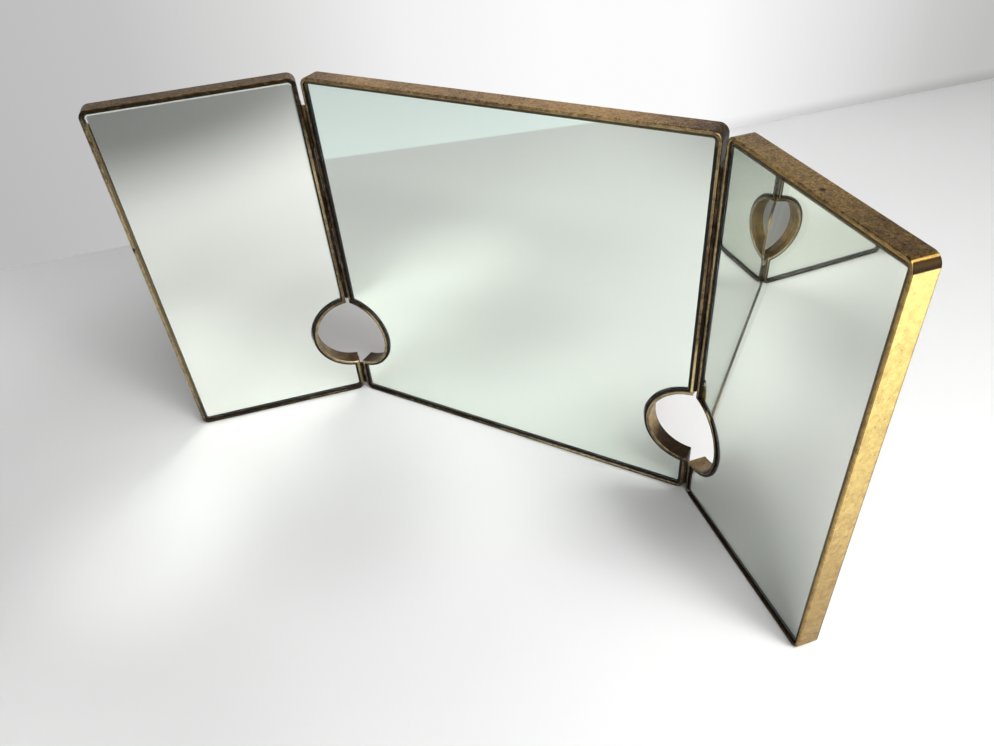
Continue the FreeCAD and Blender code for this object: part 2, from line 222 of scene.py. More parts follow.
def panel_place(finish, panel):
    """Where a point is on its own panel, in millimetres: out from the middle or from the
    hinge line, back from the front plane, and up."""
    side = PANELS[panel]
    home = (side * AXIS_X * MM, (AXIS_Y if side else FRONT_Y) * MM, 0.0)
    turn = (0.0, 0.0, -side * FOLD)
    reach = (-MM if side < 0 else MM, MM, MM)
    sockets = {"Vector": finish.place(), "Location": home, "Rotation": turn, "Scale": reach}
    return finish.add("ShaderNodeMapping", {"vector_type": "TEXTURE"}, sockets)


def panel_facing(finish, panel):
    """How far a surface faces outwards, backwards and upwards on its own panel."""
    normal = finish.add("ShaderNodeTexCoord", output="Normal")
    side = PANELS[panel]
    turn = (0.0, 0.0, -side * FOLD)
    reach = (-1.0 if side < 0 else 1.0, 1.0, 1.0)
    sockets = {"Vector": normal, "Rotation": turn, "Scale": reach}
    return finish.axes(finish.add("ShaderNodeMapping", {"vector_type": "TEXTURE"}, sockets))


# How far the brass has darkened with the years, 0 for polished gold and 1 for black, along each
# stretch of bar: by height on the uprights and by the distance out on the level ones. Along the
# rims beside the hinges the steps are partly patina and partly painted reflections, and the
# right wing's outer side darkens towards its foot with painted shade.
YEARS = {
    "centre": {
        "rim_top": ((-158, 0.62), (-60, 0.60), (-20, 0.66), (20, 0.60), (100, 0.48), (158, 0.56)),
        "rim_bottom": ((-158, 0.95), (-135, 0.92), (-100, 0.86), (-20, 0.83), (20, 0.68), (62, 0.49),
                       (158, 0.82)),
        "rim_left": ((0, 0.70), (100, 0.62), (130, 0.79), (270, 0.79), (286, 0.60), (300, 0.58)),
        "rim_right": ((0, 0.82), (98, 0.15), (136, 0.28), (150, 0.74), (190, 0.59), (215, 0.76),
                      (250, 0.58), (268, 0.48), (300, 0.62)),
        "top": ((-158, 0.70), (-110, 0.48), (-20, 0.58), (60, 0.46), (110, 0.51), (158, 0.86)),
        "left_notch": ((33, 0.88), (37, 0.82), (45, 0.68), (55, 0.52), (99, 0.50)),
        "left_notch_rim": ((33, 0.50), (37, 0.53), (44, 0.56), (80, 0.54), (89, 0.56), (96, 0.80),
                           (99, 0.97)),
        "right_notch": ((33, 0.97), (44, 0.94), (50, 0.70), (57, 0.44), (99, 0.46)),
        "right_notch_rim": ((33, 0.84), (36, 0.76), (43, 0.64), (54, 0.66), (62, 0.54), (78, 0.48),
                            (88, 0.54), (99, 0.45)),
    },
    "left_wing": {
        "rim_top": ((0, 0.95), (155, 0.95)),
        "rim_bottom": ((0, 0.88), (50, 0.84), (80, 0.92), (124, 0.97), (155, 0.96)),
        "rim_hinge": ((0, 0.58), (100, 0.61), (130, 0.72), (190, 0.52), (220, 0.40), (250, 0.68),
                      (268, 0.90), (300, 0.90)),
        "rim_outer": ((0, 0.76), (50, 0.56), (160, 0.47), (220, 0.49), (270, 0.73), (300, 0.74)),
        "top": ((0, 0.71), (155, 0.71)),
        "outside": ((0, 0.62), (40, 0.50), (180, 0.42), (300, 0.56)),
        "notch": ((33, 0.86), (38, 0.76), (45, 0.66), (55, 0.54), (99, 0.52)),
        "notch_rim": ((33, 0.50), (43, 0.54), (54, 0.58), (66, 0.54), (78, 0.52), (88, 0.60),
                      (96, 0.68), (99, 0.78)),
    },
    "right_wing": {
        "rim_top": ((0, 0.58), (50, 0.52), (75, 0.58), (90, 0.70), (106, 0.52), (155, 0.50)),
        "rim_bottom": ((0, 0.98), (110, 0.97), (148, 0.92), (155, 0.80)),
        "rim_hinge": ((0, 0.88), (100, 0.80), (130, 0.66), (160, 0.74), (190, 0.64), (300, 0.68)),
        "rim_outer": ((0, 0.50), (30, 0.45), (130, 0.46), (190, 0.52), (220, 0.55), (270, 0.53),
                      (300, 0.55)),
        "top": ((0, 0.62), (50, 0.54), (90, 0.58), (106, 0.58), (124, 0.66), (150, 0.72),
                (155, 0.70)),
        # Painted shade: this side darkens towards its foot.
        "outside": ((0, 0.47), (30, 0.37), (90, 0.37), (150, 0.27), (210, 0.18), (245, 0.15),
                    (270, 0.07), (300, 0.03)),
        "notch": ((33, 0.66), (38, 0.64), (42, 0.82), (46, 0.94), (66, 0.95), (99, 0.92)),
        "notch_rim": ((33, 0.74), (37, 0.72), (43, 0.76), (54, 0.88), (66, 0.95), (78, 0.90),
                      (88, 0.84), (96, 0.78), (99, 0.90)),
    },
}
PATINA = ((0.00, (0.90, 0.84, 0.29)), (0.16, (0.80, 0.60, 0.195)), (0.34, (0.55, 0.37, 0.13)),
          (0.47, (0.38, 0.245, 0.085)), (0.60, (0.23, 0.142, 0.052)), (0.74, (0.125, 0.076, 0.030)),
          (0.88, (0.052, 0.029, 0.010)), (1.00, (0.018, 0.010, 0.004)))
OLIVE_PATINA = ((0.00, (0.90, 0.79, 0.42)), (0.16, (0.74, 0.61, 0.33)), (0.34, (0.49, 0.395, 0.235)),
                (0.47, (0.345, 0.272, 0.162)), (0.60, (0.218, 0.168, 0.100)),
                (0.74, (0.115, 0.086, 0.050)), (0.88, (0.048, 0.032, 0.015)),
                (1.00, (0.020, 0.013, 0.006)))
OLIVE_SHARE = {"centre": 0.6, "left_wing": 1.0, "right_wing": 0.0}
TOP_TINTS = {"centre": (1.07, 0.93, 0.76), "left_wing": (1.08, 0.98, 0.70),
             "right_wing": (1.02, 0.97, 0.74)}
# Knocks in the bar: where on the panel, and how far the mark reaches, in millimetres.
NICKS = {"left_wing": (((154.6, 0.8, 188.0), 2.4),), "right_wing": (((82.0, 6.0, 300.0), 2.2),)}


def lay(years, mask, other):
    """Where the mask is 1 the other years hold."""
    return years + (other - years) * mask


def notch_distance(finish, out, up, middle):
    """How far a place is from the middle of a notch, in millimetres."""
    return finish.distance(finish.vector(out, up, 0.0), (middle, HOLE_UP, 0.0))


def band_years(finish, panel, place, facing):
    """How dark a place on a panel's bar is before the small blotches, how olive its patina is,
    and whether it is on the top."""
    out, back, up = place
    facing_out, _, facing_up = facing
    told = YEARS[panel]
    level = finish.between(up, 293.0, 297.0)
    foot = 1.0 - finish.between(up, 3.0, 6.5)
    years = 0.60
    olive = OLIVE_SHARE[panel]
    if panel == "centre":
        left = finish.between(-out, 150.0, 154.5)
        right = finish.between(out, 150.0, 154.5)
        years = lay(years, left, finish.profile(up, told["rim_left"]))
        years = lay(years, right, finish.profile(up, told["rim_right"]))
        olive = lay(olive, left.higher(foot), 1.0)
        holes = (("left_notch", -AXIS_X), ("right_notch", AXIS_X))
        gap_shade = finish.between(abs(facing_out), *FACING) * (left + right)
    else:
        hinge = 1.0 - finish.between(out, 3.8, 6.5)
        outer = finish.between(out, 148.0, 152.5)
        years = lay(years, hinge, finish.profile(up, told["rim_hinge"]))
        years = lay(years, outer, finish.profile(up, told["rim_outer"]))
        olive = lay(olive, hinge, 0.8)
        holes = (("notch", 0.0),)
        gap_shade = finish.between(-facing_out, *FACING) * hinge
    years = lay(years, level, finish.profile(out, told["rim_top"]))
    years = lay(years, foot, finish.profile(out, told["rim_bottom"]))
    # The sides that face each other across the hinge gap are darkened: painted shade.
    years = lay(years, gap_shade.clipped(), 0.94)
    rim = 1.0 - finish.between(back, 0.5, 1.2)
    for name, middle in holes:
        near = 1.0 - finish.between(notch_distance(finish, out, up, middle), 35.8, 37.2)
        years = lay(years, near, finish.profile(up, told[name]))
        years = lay(years, near * rim, finish.profile(up, told[name + "_rim"]))
        olive = lay(olive, near, 0.2 + rim * 0.7)
    if panel != "centre":
        outside = finish.between(facing_out, *FACING) * finish.between(out, 146.0, 150.0)
        outside = outside * finish.between(back, 0.55, 0.95)
        years = lay(years, outside, finish.profile(up, told["outside"]))
    above = finish.between(facing_up, *FACING) * finish.between(up, 290.0, 294.0)
    return lay(years, above, finish.profile(out, told["top"])), olive * (1.0 - above), above


def make_band_brass(panel):
    """Brass bar with its years on it: gold where hands polish it, brown and black where they
    don't, brushed along its length, with small dark pits and bright worn arrises. Painted shade
    darkens it in the hinge gap and low on the right wing's outer side; the right wing's outer top
    corner has a painted highlight, and both wings' a painted dark reflection."""
    finish = Finish(panel + "_band_brass")
    place = panel_place(finish, panel)
    out, back, up = finish.axes(place)
    facing = panel_facing(finish, panel)
    years, olive, above = band_years(finish, panel, (out, back, up), facing)
    facing_out, _, facing_up = facing

    clouds = finish.noise(place, 0.05, 3.0, 0.55)
    blotches = finish.noise(place, 0.20, 4.0, 0.62, 0.6)
    grain = finish.noise(place, 0.62, 3.0, 0.72, 0.9)
    specks = finish.noise(place, 1.35, 2.0, 0.6)
    brushed = finish.noise(finish.vector(out * 0.06, back * 2.1, up * 0.06), 1.0, 3.0, 0.6)
    # Fine crooked veins where the old lacquer lifted.
    veins = finish.noise(place, 0.36, 3.0, 0.6, 2.4)
    veins = 1.0 - finish.between(abs(veins - 0.5), 0.012, 0.055)
    rim = 1.0 - finish.between(back, 0.6, 1.6)

    years = years + (clouds - 0.5) * 0.20 + (blotches - 0.5) * (0.36 + rim * 0.22)
    years = years + (brushed - 0.5) * 0.12 + (grain - 0.5) * (0.24 + above * 0.66 + rim * 0.18)
    years = years + veins * (0.03 + above * 0.14)
    worn = finish.add("ShaderNodeAttribute", {"attribute_name": "worn"}, output="Fac")
    rubbed = worn * finish.between(finish.noise(place, 0.3, 3.0, 0.6), 0.36, 0.56)
    rubbed = rubbed * (1.0 - finish.between(years, 0.72, 0.92) * 0.9) * rim
    if panel == "right_wing":
        rubbed = rubbed * (1.0 - finish.between(out, 148.0, 151.0) * 0.9)
    years = years - rubbed * 0.18
    # It is darker along the back arris and the back, and along the top arris.
    years = years + worn * finish.between(back, 13.5, 14.6) * 0.30
    years = years + finish.between(back, 14.1, 14.8) * (1.0 - above) * 0.22
    years = years + worn * finish.between(up, 298.6, 299.4) * 0.16
    if panel == "right_wing":
        # Painted highlight and painted dark reflection on the outer top corner: a bright band near the
        # top face and a dark band below it.
        painted_highlight = finish.between(facing_out, 0.40, 0.50)
        painted_highlight = painted_highlight * (1.0 - finish.between(facing_out, 0.56, 0.66))
        painted_dark_reflection = finish.between(facing_out, 0.60, 0.68) * finish.between(facing_up, 0.02, 0.12)
        years = lay(years, painted_highlight * 0.80, 0.20)
        years = lay(years, painted_dark_reflection, 0.97)
    elif panel == "left_wing":
        # Painted dark reflection: the left wing's outer top corner is darkened.
        painted_dark_corner = finish.between(facing_out, 0.50, 0.72) * finish.between(facing_up, 0.05, 0.25)
        years = years + painted_dark_corner * 0.30
    for nick, reach in NICKS.get(panel, ()):
        far = finish.distance(place, nick) + (grain - 0.5) * 1.5
        years = years + (1.0 - finish.between(far, reach * 0.4, reach)) * 0.5
    years = years.clipped()
    pits = finish.between(specks, 0.585, 0.665) * finish.between(blotches, 0.42, 0.58)
    pits = pits * (0.40 + above * 0.5) * finish.between(years, 0.05, 0.45)

    shade = finish.blend(olive, finish.ramp(years, PATINA), finish.ramp(years, OLIVE_PATINA))
    tint = finish.blend(above, (1.0, 1.0, 1.0), TOP_TINTS[panel])
    settings = {"data_type": "RGBA", "blend_type": "MULTIPLY"}
    shade = finish.add("ShaderNodeMix", settings, {0: 1.0, 6: shade, 7: tint}, 2)
    shade = finish.blend(pits, shade, (0.03, 0.019, 0.009))
    dull = 0.20 + years * 0.26 + (grain - 0.5) * 0.18 + pits * 0.2
    relief = finish.bump(grain * 0.8 + brushed * 0.7 - pits * 1.8 - veins * 0.5, 0.00007, 0.8)
    metal = 1.0 - pits * 0.3 - finish.between(years, 0.75, 1.0) * 0.04
    return finish.skin(Base_Color=shade, Metallic=metal, Roughness=dull.clipped(), Normal=relief)


def make_clear_glass():
    """The polished front of the mirror glass."""
    finish = Finish("polished_glass")
    place = finish.place()
    smears = finish.noise(place, 22.0, 4.0, 0.6, 0.8)
    film = finish.between(smears, 0.62, 0.80) * 0.012
    return finish.skin(Base_Color=(1.0, 1.0, 1.0, 1.0), Roughness=film, IOR=1.5,
                       Transmission_Weight=1.0)


SILVER_TINTS = {"centre": ((0.875, 0.935, 0.862), (0.85, 0.915, 0.842)),
                "left_wing": ((0.865, 0.893, 0.838), (0.845, 0.876, 0.820)),
                "right_wing": ((0.895, 0.930, 0.865), (0.875, 0.912, 0.847))}


def make_silvering(panel):
    """The silver behind the glass, a little green through three millimetres of it. It is black in a
    narrow band over the round openings. The right wing's is darkened towards its outer side with a
    painted reflection of shade, and brown where that side and its top meet the bar."""
    finish = Finish(panel + "_silvered_back")
    place = panel_place(finish, panel)
    out, _, up = finish.axes(place)
    clouds = finish.noise(place, 0.009, 3.0, 0.5)
    spots = finish.noise(place, 0.26, 3.0, 0.65)
    bloom = finish.between(spots, 0.70, 0.80) * finish.between(clouds, 0.52, 0.66)
    shade = finish.blend((clouds * 0.5).clipped(), *SILVER_TINTS[panel])
    shade = finish.blend(bloom * 0.5, shade, (0.35, 0.36, 0.33))
    if panel == "right_wing":
        # Painted reflection of shade: the right wing's silver darkens towards its outer side.
        shade = finish.blend(finish.between(out, 45.0, 140.0) * 0.22, shade, BLACK)
        rim = finish.between(out, 149.3, 149.8).higher(finish.between(up, 293.4, 294.1))
        shade = finish.blend(rim * finish.between(up, *PAST_FOOT), shade, (0.13, 0.10, 0.05))
    holes = (-AXIS_X, AXIS_X) if panel == "centre" else (0.0,)
    black = 0.0
    for middle in holes:
        far = notch_distance(finish, out, up, middle)
        black = (1.0 - finish.between(far, 38.3, 39.2)) * finish.between(up, 60.0, 76.0) + black
    shade = finish.blend(black, shade, (0.012, 0.010, 0.008))
    return finish.skin(Base_Color=shade, Metallic=1.0, Roughness=0.004 + bloom * 0.15)


def lacquered(finish, panel, out, up):
    """Where the joint between glass and bar is brown like the bar: the wings' outer sides and
    the tops, but not the left wing's."""
    top = finish.between(up, *TOP_JOINT)
    if panel == "centre":
        return top * 0.9
    outer = finish.between(out, *OUTER_JOINT) * finish.between(up, *PAST_FOOT)
    return top.higher(outer) if panel == "right_wing" else outer * (1.0 - top) * 0.75


def make_glass_edge(panel):
    """The glass's cut edge, dark where the bedding shows through it."""
    finish = Finish(panel + "_glass_edge")
    place = panel_place(finish, panel)
    out, _, up = finish.axes(place)
    chips = finish.noise(place, 0.7, 3.0, 0.6)
    shade = finish.blend(chips, (0.012, 0.017, 0.014), (0.035, 0.05, 0.042))
    shade = finish.blend(lacquered(finish, panel, out, up), shade, (0.20, 0.145, 0.065))
    return finish.skin(Base_Color=shade, Roughness=0.35 + chips * 0.2)


ARRIS_BROWNS = {"centre": (0.125, 0.098, 0.052), "left_wing": (0.180, 0.146, 0.084),
                "right_wing": (0.215, 0.165, 0.078)}


def make_seamed_arris(panel):
    """The narrow arris ground round the glass. Old bedding and lacquer have crept over it, brown
    on top and on the outer sides and black elsewhere. Only the left wing's is clear, at the top
    and at the hinges."""
    finish = Finish(panel + "_seamed_arris")
    place = panel_place(finish, panel)
    out, _, up = finish.axes(place)
    grit = finish.noise(place, 0.9, 3.0, 0.6)
    top = finish.between(up, *TOP_JOINT)
    brown = top if panel == "centre" else top.higher(finish.between(out, *OUTER_JOINT))
    brown = brown * finish.between(up, 8.0, 40.0)
    brown = brown * finish.between(grit, 0.15, 0.55)
    shade = finish.blend(brown, (0.020, 0.017, 0.011), ARRIS_BROWNS[panel])
    crept = finish.add("ShaderNodeBsdfPrincipled", {}, {
        "Base Color": shade, "Roughness": 0.40 + grit * 0.2})
    if panel != "left_wing":
        return finish.close(crept)
    clear = finish.add("ShaderNodeBsdfPrincipled", {}, {
        "Base Color": (0.72, 0.71, 0.66, 1.0), "Roughness": 0.05 + grit * 0.12, "IOR": 1.5,
        "Transmission Weight": 1.0})
    hinge = (1.0 - finish.between(out, 8.0, 14.0)) * finish.between(up, 100.0, 112.0)
    bare = top.higher(hinge)
    return finish.close(finish.add("ShaderNodeMixShader", {}, {0: bare, 1: crept, 2: clear}))


def make_bedding(panel):
    """Black bedding between the glass and the bar, dried and a little dusty, with brown lacquer
    over it in places."""
    finish = Finish(panel + "_bedding_mastic")
    place = panel_place(finish, panel)
    out, _, up = finish.axes(place)
    lumps = finish.noise(place, 0.42, 4.0, 0.6)
    dust = finish.between(finish.noise(place, 0.06, 4.0, 0.6), 0.5, 0.75)
    shade = finish.blend(dust * 0.5, (0.012, 0.010, 0.009), (0.085, 0.072, 0.055))
    shade = finish.blend(lacquered(finish, panel, out, up), shade, (0.205, 0.145, 0.063))
    return finish.skin(Base_Color=shade, Roughness=0.72 + (lumps - 0.5) * 0.3,
                       Normal=finish.bump(lumps, 0.00025))


def make_felt():
    """Grey packing felt."""
    finish = Finish("grey_packing_felt")
    place = finish.place()
    fibres = finish.noise(place, 900.0, 5.0, 0.75, 1.4)
    clumps = finish.noise(place, 120.0, 3.0, 0.6)
    shade = finish.blend(fibres * 0.6 + clumps * 0.4, (0.10, 0.098, 0.092), (0.30, 0.29, 0.27))
    return finish.skin(Base_Color=shade, Roughness=0.95, Normal=finish.bump(fibres, 0.0004))


def make_board(panel):
    """Stained plywood back, with grain up the panel, scuffs, and lighter plies showing at its rims."""
    finish = Finish(panel + "_stained_plywood")
    place = panel_place(finish, panel)
    out, back, up = finish.axes(place)
    _, facing_back, _ = panel_facing(finish, panel)
    wander = finish.noise(finish.vector(out * 0.02, back * 0.02, up * 0.006), 1.0, 2.0, 0.5)
    ring_place = finish.vector(out * 0.16 + wander * 3.2, back * 0.1, up * 0.010)
    rings = finish.noise(ring_place, 1.0, 4.0, 0.6, 0.6)
    pores = finish.noise(finish.vector(out * 2.4, back * 2.4, up * 0.09), 1.0, 3.0, 0.6)
    patches = finish.noise(place, 0.02, 4.0, 0.6)
    shade = finish.ramp(rings, ((0.25, (0.055, 0.026, 0.011)), (0.5, (0.125, 0.063, 0.027)),
                                (0.75, (0.20, 0.108, 0.050))))
    pore_lines = finish.between(pores, 0.60, 0.72)
    shade = finish.blend(pore_lines * 0.55, shade, (0.025, 0.012, 0.006))
    shade = finish.blend(finish.between(patches, 0.55, 0.8) * 0.5, shade, (0.05, 0.026, 0.013))
    plies = finish.between(finish.noise(finish.vector(0.0, back * 0.85, 0.0), 1.0, 1.0), 0.45, 0.55)
    edge = 1.0 - finish.between(abs(facing_back), 0.5, 0.8)
    shade = finish.blend(edge * plies * 0.6, shade, (0.26, 0.17, 0.09))
    scuffs = finish.between(finish.noise(place, 0.35, 5.0, 0.7), 0.66, 0.74)
    shade = finish.blend(scuffs * 0.35, shade, (0.30, 0.20, 0.12))
    dull = 0.48 + (rings - 0.5) * 0.2 + pore_lines * 0.2 + scuffs * 0.2
    relief = finish.bump(rings * 0.4 - pore_lines * 0.8, 0.00018, 0.8)
    return finish.skin(Base_Color=shade, Roughness=dull.clipped(), Normal=relief)


def make_small_metal(name, bright, dark, dulling, tarnish_from, tarnish_to):
    """Metal of the small parts: tabs bent by hand, hinges gone nearly black, and their pins."""
    finish = Finish(name)
    place = finish.place()
    clouds = finish.noise(place, 55.0, 4.0, 0.6)
    grain = finish.noise(place, 1300.0, 3.0, 0.65)
    rubbed = finish.between(finish.noise(place, 210.0, 4.0, 0.6), 0.55, 0.70)
    tarnish = finish.between(clouds, tarnish_from, tarnish_to)
    shade = finish.blend(tarnish, bright, dark)
    shade = finish.blend(rubbed * 0.35, shade, bright)
    shade = finish.blend((grain - 0.45).clipped() * 1.2, shade, dark)
    dull = dulling + tarnish * 0.18 + (grain - 0.5) * 0.2 - rubbed * 0.08
    return finish.skin(Base_Color=shade, Metallic=0.99 - tarnish * 0.05, Roughness=dull.clipped(),
                       Normal=finish.bump(grain + clouds * 0.5, 0.00008))


# ---------------------------------------------------------------- pieces


def whole_copy(node):
    """The shape of a CAD node with its loose triangles joined into whole faces."""
    shape = bmesh.new()
    shape.from_mesh(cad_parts[node].data)
    bmesh.ops.remove_doubles(shape, verts=shape.verts, dist=0.000002)
    bmesh.ops.dissolve_limit(shape, angle_limit=math.radians(0.6), use_dissolve_boundaries=False,
                             verts=shape.verts, edges=shape.edges, delimit=set())
    return shape


def hang(shape, name, body, node, finishes):
    """Turns a finished shape into a piece that rides on its body in place of its node."""
    mesh = bpy.data.meshes.new(name)
    shape.to_mesh(mesh)
    shape.free()
    if "custom_normal" in mesh.attributes:
        mesh.attributes.remove(mesh.attributes["custom_normal"])
    piece = bpy.data.objects.new(name, mesh)
    bpy.context.scene.collection.objects.link(piece)
    for finish in finishes:
        mesh.materials.append(finish)
    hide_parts(node)
    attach(piece, body)
    return piece


def round_over(shape, edges, reach):
    """Rounds edges by a reach in millimetres, and gives the new faces."""
    made = bmesh.ops.bevel(shape, geom=edges, offset=reach * MM, offset_type="OFFSET", segments=2,
                           profile=0.5, affect="EDGES", clamp_overlap=True, material=-1)
    return made["faces"]


def shade_evenly(piece):
    """Keeps the flats flat beside their rounded corners."""
    piece.modifiers.new("even_shading", "WEIGHTED_NORMAL").weight = 80


def front_of(panel):
    """The direction in which a panel's mirror looks."""
    side = PANELS[panel]
    return Vector((-side * math.sin(FOLD), -math.cos(FOLD if side else 0.0), 0.0))


def make_band(panel):
    """The bent bar: the CAD outline with every long corner rounded and worn."""
    shape = whole_copy(panel + "_frame")
    corners = [e for e in shape.edges if len(e.link_faces) == 2
               and e.calc_face_angle() > SHARP]
    worn = shape.faces.layers.float.new("worn")
    for face in round_over(shape, corners, ARRIS_ROUND):
        face[worn] = 1.0
    # The arris in front is worn as well.
    front = front_of(panel)
    for face in shape.faces:
        if 0.4 < face.normal.dot(front) < 0.95:
            face[worn] = 1.0
        face.smooth = True
    brass = make_band_brass(panel)
    shade_evenly(hang(shape, panel + "_band", panel, panel + "_frame", [brass]))


def make_mirror(panel, finishes):
    """The glass: polished in front, ground at its arris, dark at its edge, silvered behind."""
    shape = whole_copy(panel + "_mirror_glass")
    front = front_of(panel)
    silver = set()
    for face in shape.faces:
        face.smooth = False
        look = face.normal.dot(front)
        if look > 0.99:
            face.material_index = 0
        elif look > 0.3:
            face.material_index = 1
        elif look > -0.9:
            face.material_index = 2
        else:
            face.material_index = 3
            silver.update(face.verts)
    # The silver lies inside the glass, clear of the felt behind it. On the right wing the glass
    # is a little thicker at its outer side.
    home = Vector((PANELS[panel] * AXIS_X, AXIS_Y, 0.0)) * MM
    for vert in silver:
        out = (Vector((vert.co.x, vert.co.y, 0.0)) - home).length / MM
        lift = SILVER_LIFT
        if panel == "right_wing":
            lift += (SILVER_LEANS_ABOUT - out) * SILVER_LEAN
        vert.co += front * lift * MM
    hang(shape, panel + "_mirror", panel, panel + "_mirror_glass", finishes)


def stand_rod(shape, place, low, high, radius, ease, segments=28):
    """An upright rod with eased ends, at a place in millimetres."""
    made = bmesh.ops.create_cone(shape, cap_ends=True, segments=segments, radius1=radius * MM,
                                 radius2=radius * MM, depth=(high - low) * MM)
    middle = Vector((place[0], place[1], (low + high) / 2.0)) * MM
    bmesh.ops.translate(shape, verts=made["verts"], vec=middle)
    edges = dict.fromkeys(e for v in made["verts"] for e in v.link_edges)
    rims = [e for e in edges if abs(e.verts[0].co.z - e.verts[1].co.z) < 0.01 * MM]
    round_over(shape, rims, ease)


def make_leaf(side, level, part, material):
    """A hinge leaf: the CAD's rolled strip, the full round of its knuckles, and a seam of
    solder on the bar where the leaf is cut back for the other leaf's knuckles."""
    foot, top, knuckles = HINGES[level]
    pitch = (top - foot) / knuckles
    node = f"{side}_{level}_hinge_{part}_leaf"
    shape = whole_copy(node)
    reach = 1.0 if side == "right" else -1.0
    outward, backward = Vector((-reach, 0.0)), Vector((0.0, 1.0))
    if part == "wing":
        outward = Vector((reach * math.cos(FOLD), -math.sin(FOLD)))
        backward = Vector((reach * math.sin(FOLD), math.cos(FOLD)))
    axis = Vector((reach * AXIS_X, AXIS_Y))
    own = 0 if part == "centre" else 1
    for place in range(knuckles):
        low = foot + place * pitch + HALF_GAP
        high = foot + (place + 1) * pitch - HALF_GAP
        # The two leaves' knuckles take turns up the pin.
        if place % 2 == own:
            stand_rod(shape, axis, low, high, KNUCKLE_RADIUS, KNUCKLE_EASE)
        else:
            seam = axis + outward * SOLDER_OUT + backward * SOLDER_BACK
            stand_rod(shape, seam, low, high, SOLDER_RADIUS, SOLDER_EASE, segments=12)
    for face in shape.faces:
        face.smooth = True
    body = "centre" if part == "centre" else side + "_wing"
    shade_evenly(hang(shape, node + "_rolled", body, node, [material]))


def repaint(node, material):
    """Gives a CAD node its better finish."""
    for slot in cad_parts[node].material_slots:
        slot.material = material


clear_glass = make_clear_glass()
felt = make_felt()
tab_brass = make_small_metal("bent_tab_brass", (0.42, 0.29, 0.12), (0.10, 0.06, 0.025),
                             0.30, 0.40, 0.68)
hinge_brass = make_small_metal("blackened_hinge_brass", (0.16, 0.10, 0.045), (0.018, 0.012, 0.007),
                               0.36, 0.28, 0.55)
pin_steel = make_small_metal("dark_pin_steel", (0.20, 0.19, 0.17), (0.035, 0.028, 0.022),
                             0.34, 0.35, 0.65)

for panel in PANELS:
    make_band(panel)
    make_mirror(panel, [clear_glass, make_seamed_arris(panel), make_glass_edge(panel),
                        make_silvering(panel)])
    repaint(panel + "_glass_bedding", make_bedding(panel))
    repaint(panel + "_packing_felt", felt)
    repaint(panel + "_back_board", make_board(panel))
    repaint(panel + "_retaining_tabs", tab_brass)
for side in ("right", "left"):
    for level in ("upper", "lower"):
        make_leaf(side, level, "centre", hinge_brass)
        make_leaf(side, level, "wing", hinge_brass)
        repaint(f"{side}_{level}_hinge_pin", pin_steel)


# ---------------------------------------------------------------- studio


# What the table and the air look like a long way off.
FAR_TONE = (0.80, 0.81, 0.82)
# The table's front left edge: the way out to it, and how far out it is.
EDGE_WAY = (-0.6209, -0.7839)
EDGE_FAR = 0.6210
# The wall: which way it runs, where its middle is, and how much of it its greys are laid over.
WALL_TURN = math.atan2(1.0528, 1.0622)
WALL_HOME = (-0.2013, 0.5716, 1.9998)
WALL_STRETCH = 1.4
# Patches of painted shade on the table: the middle, where the patch starts to fade and where it
# ends, its depth.
SHADE_PATCHES = (((0.170, 0.020, 0.0), 0.0, 0.068, 0.30), ((-0.072, -0.082, 0.0), 0.01, 0.130, 0.15))
MIRROR_SHADES = (((0.363, -0.948, 0.0), 0.280, 0.672, 0.72), ((0.250, -0.060, 0.0), 0.0, 0.14, 0.33))


def seen_rays(finish, by_camera, straight=False):
    """1 for what the mirrors see, and for what the camera sees too where that is asked for.
    Straight sight leaves out light on its way from the table or the boards by a mirror."""
    seen = finish.light_path("Is Glossy Ray").higher(finish.light_path("Is Transmission Ray"))
    if by_camera:
        seen = seen.higher(finish.light_path("Is Camera Ray"))
    return seen * (1.0 - finish.light_path("Diffuse Depth")).clipped() if straight else seen


